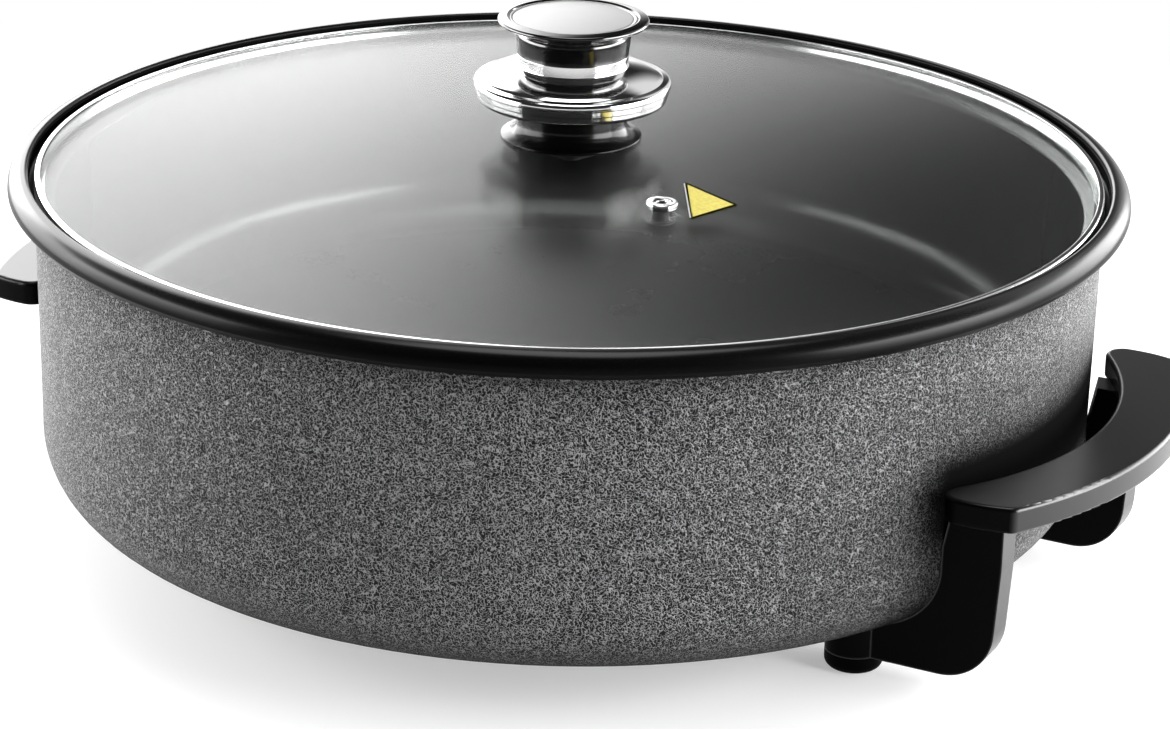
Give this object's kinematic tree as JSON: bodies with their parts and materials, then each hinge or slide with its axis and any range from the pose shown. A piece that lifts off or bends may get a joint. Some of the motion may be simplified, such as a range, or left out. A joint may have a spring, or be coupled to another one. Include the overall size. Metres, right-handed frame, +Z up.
{
  "type": "electric paella pan",
  "caption": "Round double-walled electric pan on feet, with crescent handles and a loose glass lid with a mushroom knob.",
  "frame": {"origin": "on the table, under the middle of the pan", "axes": "+Z up, +X towards the right handle, -Y towards the viewer"},
  "size_m": [0.4738, 0.42, 0.2024],
  "materials": {
    "hammered_paint": "grey hammered paint with a fine worm-like relief, semi-gloss",
    "nonstick_black": "satin black non-stick coating",
    "black_bakelite": "smooth black phenolic plastic, satin",
    "foot_rubber": "black heat-proof rubber",
    "clear_glass": "clear toughened glass",
    "band_steel": "polished stainless steel",
    "chrome": "bright polished metal",
    "vent_steel": "polished stainless steel",
    "satin_inlay": "fine satin silver",
    "blank_sticker": "plain yellow film, blank",
    "plain_steel": "zinc-plated steel",
    "element_steel": "dull grey sheathed tube",
    "plain_aluminium": "mill finish",
    "silicone": "dark translucent silicone",
    "ceramic_white": "white steatite ceramic"
  },
  "bodies": {
    "cooker": {"outer_housing": "hammered_paint", "inner_pan": "nonstick_black", "handle_right": "black_bakelite", "handle_left": "black_bakelite", "socket_shroud": "black_bakelite", "foot_front_right": "foot_rubber", "foot_back_right": "foot_rubber", "foot_front_left": "foot_rubber", "foot_back_left": "foot_rubber", "foot_screws": "plain_steel", "foot_nuts": "plain_steel", "handle_screws": "plain_steel", "pan_studs": "plain_steel", "pan_nuts": "plain_steel", "reflector_spacers": "plain_steel", "socket_screws": "plain_steel", "element_clips": "plain_steel", "probe_sleeve": "plain_steel", "terminal_pin_front": "plain_steel", "terminal_pin_back": "plain_steel", "heating_element": "element_steel", "heat_spreader": "plain_aluminium", "heat_reflector": "plain_aluminium", "terminal_bush_front": "ceramic_white", "terminal_bush_back": "ceramic_white"},
    "lid": {"lid_glass": "clear_glass", "lid_band": "band_steel", "steam_vent": "vent_steel", "lid_sticker": "blank_sticker", "knob_gasket": "silicone", "knob_base": "black_bakelite", "knob_saucer": "chrome", "knob_cap": "black_bakelite", "knob_disc": "satin_inlay", "knob_screw": "plain_steel", "knob_seal": "silicone", "knob_washer": "plain_steel"}
  },
  "joints": [
    {"name": "lid_lift", "type": "slide", "parent": "cooker", "child": "lid", "axis": [0, 0, 1], "range_m": [0, 0.15]}
  ]
}
